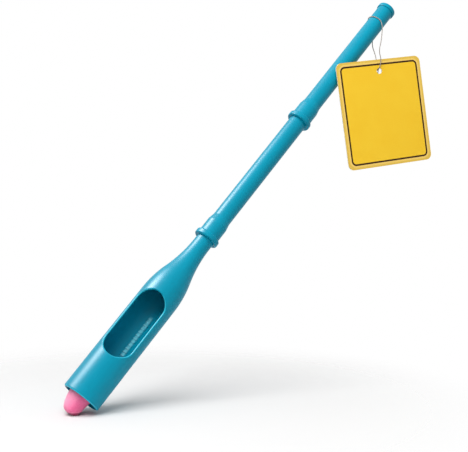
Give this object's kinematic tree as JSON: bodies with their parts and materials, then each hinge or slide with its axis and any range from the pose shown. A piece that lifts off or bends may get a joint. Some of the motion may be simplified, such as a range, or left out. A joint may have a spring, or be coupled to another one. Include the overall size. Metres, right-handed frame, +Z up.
{
  "type": "long-handled chalk holder",
  "caption": "Long-handled plastic holder for jumbo pavement chalk: bottle-shaped barrel with a loading window, plug-together handle tubes, chalk in the mouth and a card tag on a string.",
  "frame": {"origin": "on the pole axis at the hand grip, 463 mm up the pole from the barrel's mouth", "axes": "+Z up with the pole at its writing slant of 47.2 degrees, the pole leaning in the XZ plane with its chalk end towards -X, the tag on the -Y side"},
  "size_m": [0.4216, 0.0563, 0.422],
  "materials": {
    "teal_plastic": "glossy moulded",
    "grip_plastic": "satin moulded",
    "pink_chalk": "dusty matt",
    "cord": "twisted thread",
    "tag_card": "coated card"
  },
  "bodies": {
    "handle_top": {"upper_tube": "teal_plastic", "tag_string": "cord", "tag_knot": "cord"},
    "handle_bottom": {"lower_tube": "teal_plastic"},
    "barrel": {"chalk_barrel": "teal_plastic", "chalk_grip": "grip_plastic"},
    "chalk": {"chalk_stick": "pink_chalk"},
    "tag": {"hang_tag": "tag_card"}
  },
  "joints": [
    {"name": "lower_tube_pull", "type": "slide", "parent": "handle_top", "child": "handle_bottom", "axis": [-0.6794, 0, -0.7337], "range_m": [0, 0.0265]},
    {"name": "barrel_pull", "type": "slide", "parent": "handle_bottom", "child": "barrel", "axis": [-0.6794, 0, -0.7337], "range_m": [0, 0.0265]},
    {"name": "chalk_feed", "type": "slide", "parent": "barrel", "child": "chalk", "axis": [-0.6794, 0, -0.7337], "range_m": [-0.018, 0.026]},
    {"name": "tag_swing", "type": "hinge", "parent": "handle_top", "child": "tag", "pos_m": [0.0252, -0.0223, -0.0118], "axis": [-0.2079, -0.9781, 0], "range_deg": [-12, 25]}
  ]
}
